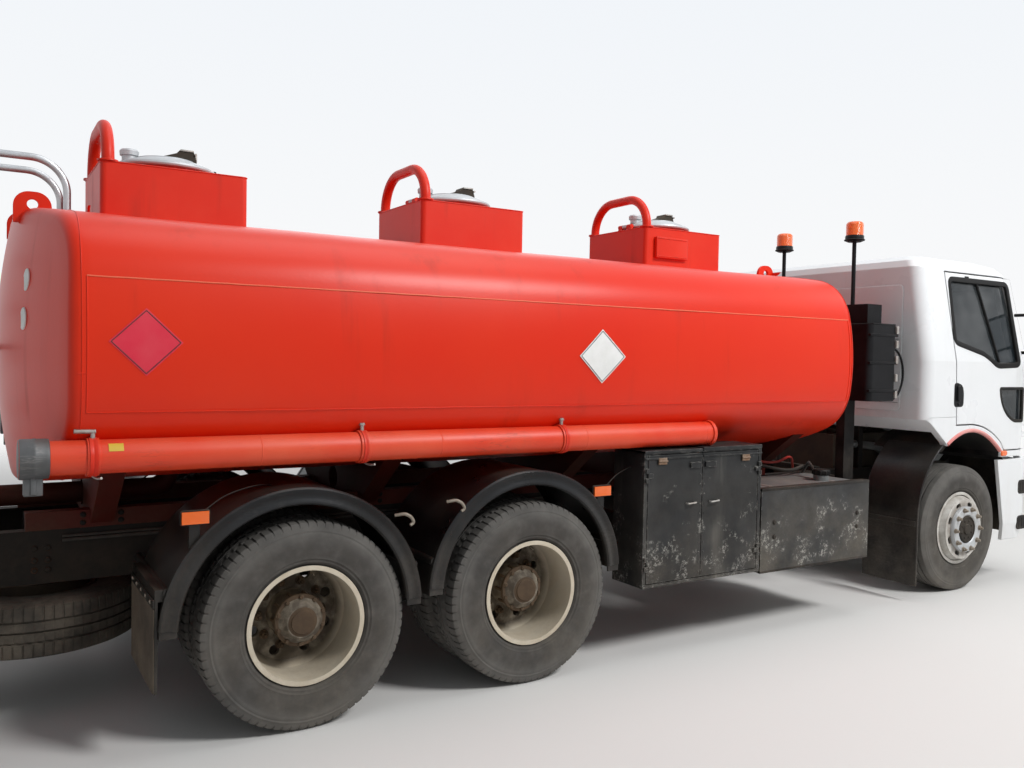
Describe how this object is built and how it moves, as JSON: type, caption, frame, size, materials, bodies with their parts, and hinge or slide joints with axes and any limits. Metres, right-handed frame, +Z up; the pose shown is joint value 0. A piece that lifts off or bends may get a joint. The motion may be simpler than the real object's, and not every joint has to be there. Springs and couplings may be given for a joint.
{
  "type": "tanker truck",
  "caption": "Three-axle tanker truck: oval tank with hatch boxes and tilting lids, side lockers, forward cab with doors, steered front wheels and twin rear wheels.",
  "frame": {"origin": "bottom centre of the whole truck, on the road", "axes": "+X forward, +Y to the truck's left, +Z up"},
  "size_m": [8.65, 2.99, 3.1099],
  "materials": {
    "tank_red": "gloss paint",
    "frame_black": "satin paint",
    "cab_white": "gloss paint",
    "black_plastic": "moulded",
    "lid_grey": "satin",
    "ladder_steel": "satin",
    "tyre": "dusty",
    "rim_cream": "dusty paint",
    "cast": "as cast",
    "fuel_grey": "satin paint",
    "amber": "clear amber",
    "red_lens": "clear red",
    "lamp_glass": "clear",
    "glass": "tinted",
    "seat_fabric": "woven",
    "dash_plastic": "grained"
  },
  "bodies": {
    "chassis": {"frame": "frame_black", "springs": "frame_black", "front_axle": "cast", "drive_axles": "frame_black", "engine": "frame_black", "tank": "tank_red", "saddles": "tank_red", "lifting_lugs": "tank_red", "hatch_box_rear": "tank_red", "hatch_box_middle": "tank_red", "hatch_box_front": "tank_red", "hose_tubes": "tank_red", "rear_ladder": "ladder_steel", "outlet_pipe": "tank_red", "cabinet": "frame_black", "fuel_tank": "fuel_grey", "fuel_guard": "frame_black", "battery_box": "black_plastic", "air_tanks": "fuel_grey", "mudguards_left": "black_plastic", "mudguards_right": "black_plastic", "amber_lamps": "amber", "tail_lamps": "red_lens", "air_intake": "black_plastic", "beacon_masts": "frame_black", "bumper": "cab_white", "headlamps": "lamp_glass", "tyre_spare": "tyre", "rim_spare": "rim_cream"},
    "cab": {"cab_shell": "cab_white", "windscreen": "glass", "grille": "black_plastic", "seats": "seat_fabric", "dashboard": "dash_plastic", "mirrors": "black_plastic"},
    "door_left": {"door_left": "cab_white", "door_glass_left": "glass"},
    "door_right": {"door_right": "cab_white", "door_glass_right": "glass"},
    "knuckle_left": {"knuckle_left": "cast"},
    "knuckle_right": {"knuckle_right": "cast"},
    "track_rod": {"track_rod": "ladder_steel"},
    "wheel_front_left": {"tyre_front_left": "tyre", "rim_front_left": "rim_cream"},
    "wheel_front_right": {"tyre_front_right": "tyre", "rim_front_right": "rim_cream"},
    "wheel_middle_left": {"tyre_middle_left": "tyre", "rim_middle_left": "rim_cream"},
    "wheel_middle_right": {"tyre_middle_right": "tyre", "rim_middle_right": "rim_cream"},
    "wheel_rear_left": {"tyre_rear_left": "tyre", "rim_rear_left": "rim_cream"},
    "wheel_rear_right": {"tyre_rear_right": "tyre", "rim_rear_right": "rim_cream"},
    "lid_rear": {"lid_rear": "lid_grey"},
    "lid_middle": {"lid_middle": "lid_grey"},
    "lid_front": {"lid_front": "lid_grey"},
    "cabinet_door_rear": {"cabinet_door_rear": "frame_black"},
    "cabinet_door_front": {"cabinet_door_front": "frame_black"}
  },
  "joints": [
    {"name": "cab_tilt", "type": "hinge", "parent": "chassis", "child": "cab", "pos_m": [4.175, 0, 1.06], "axis": [0, 1, 0], "range_deg": [0, 45]},
    {"name": "steer_left", "type": "hinge", "parent": "chassis", "child": "knuckle_left", "pos_m": [2.989, 0.905, 0.521], "axis": [0, 0, 1], "range_deg": [-35, 35]},
    {"name": "steer_right", "type": "hinge", "parent": "chassis", "child": "knuckle_right", "pos_m": [2.989, -0.905, 0.521], "axis": [0, 0, 1], "range_deg": [-35, 35]},
    {"name": "track_rod_pivot", "type": "hinge", "parent": "knuckle_left", "child": "track_rod", "pos_m": [2.839, 0.905, 0.37], "axis": [0, 0, 1], "range_deg": [-35, 35]},
    {"name": "door_left_hinge", "type": "hinge", "parent": "cab", "child": "door_left", "pos_m": [3.792, 1.211, 1.54], "axis": [0, 0, -1], "range_deg": [0, 70]},
    {"name": "door_right_hinge", "type": "hinge", "parent": "cab", "child": "door_right", "pos_m": [3.792, -1.211, 1.54], "axis": [0, 0, 1], "range_deg": [0, 70]},
    {"name": "wheel_front_left_spin", "type": "hinge", "parent": "knuckle_left", "child": "wheel_front_left", "pos_m": [2.989, 1.043, 0.521], "axis": [0, 1, 0], "continuous": true},
    {"name": "wheel_front_right_spin", "type": "hinge", "parent": "knuckle_right", "child": "wheel_front_right", "pos_m": [2.989, -1.043, 0.521], "axis": [0, 1, 0], "continuous": true},
    {"name": "wheel_middle_left_spin", "type": "hinge", "parent": "chassis", "child": "wheel_middle_left", "pos_m": [-1.265, 0.925, 0.521], "axis": [0, 1, 0], "continuous": true},
    {"name": "wheel_middle_right_spin", "type": "hinge", "parent": "chassis", "child": "wheel_middle_right", "pos_m": [-1.265, -0.925, 0.521], "axis": [0, 1, 0], "continuous": true},
    {"name": "wheel_rear_left_spin", "type": "hinge", "parent": "chassis", "child": "wheel_rear_left", "pos_m": [-2.583, 0.925, 0.521], "axis": [0, 1, 0], "continuous": true},
    {"name": "wheel_rear_right_spin", "type": "hinge", "parent": "chassis", "child": "wheel_rear_right", "pos_m": [-2.583, -0.925, 0.521], "axis": [0, 1, 0], "continuous": true},
    {"name": "lid_rear_hinge", "type": "hinge", "parent": "chassis", "child": "lid_rear", "pos_m": [-3.328, 0, 2.893], "axis": [0, -1, 0], "range_deg": [0, 75]},
    {"name": "lid_middle_hinge", "type": "hinge", "parent": "chassis", "child": "lid_middle", "pos_m": [-1.48, 0, 2.893], "axis": [0, -1, 0], "range_deg": [0, 75]},
    {"name": "lid_front_hinge", "type": "hinge", "parent": "chassis", "child": "lid_front", "pos_m": [0.342, 0, 2.893], "axis": [0, -1, 0], "range_deg": [0, 75]},
    {"name": "cabinet_door_rear_hinge", "type": "hinge", "parent": "chassis", "child": "cabinet_door_rear", "pos_m": [-0.446, -1.2565, 0.875], "axis": [0, 0, -1], "range_deg": [0, 95]},
    {"name": "cabinet_door_front_hinge", "type": "hinge", "parent": "chassis", "child": "cabinet_door_front", "pos_m": [0.516, -1.2565, 0.875], "axis": [0, 0, 1], "range_deg": [0, 95]}
  ],
  "couplings": [
    {"joint": "steer_right", "follows": "steer_left", "ratio": 1},
    {"joint": "track_rod_pivot", "follows": "steer_left", "ratio": -1}
  ]
}
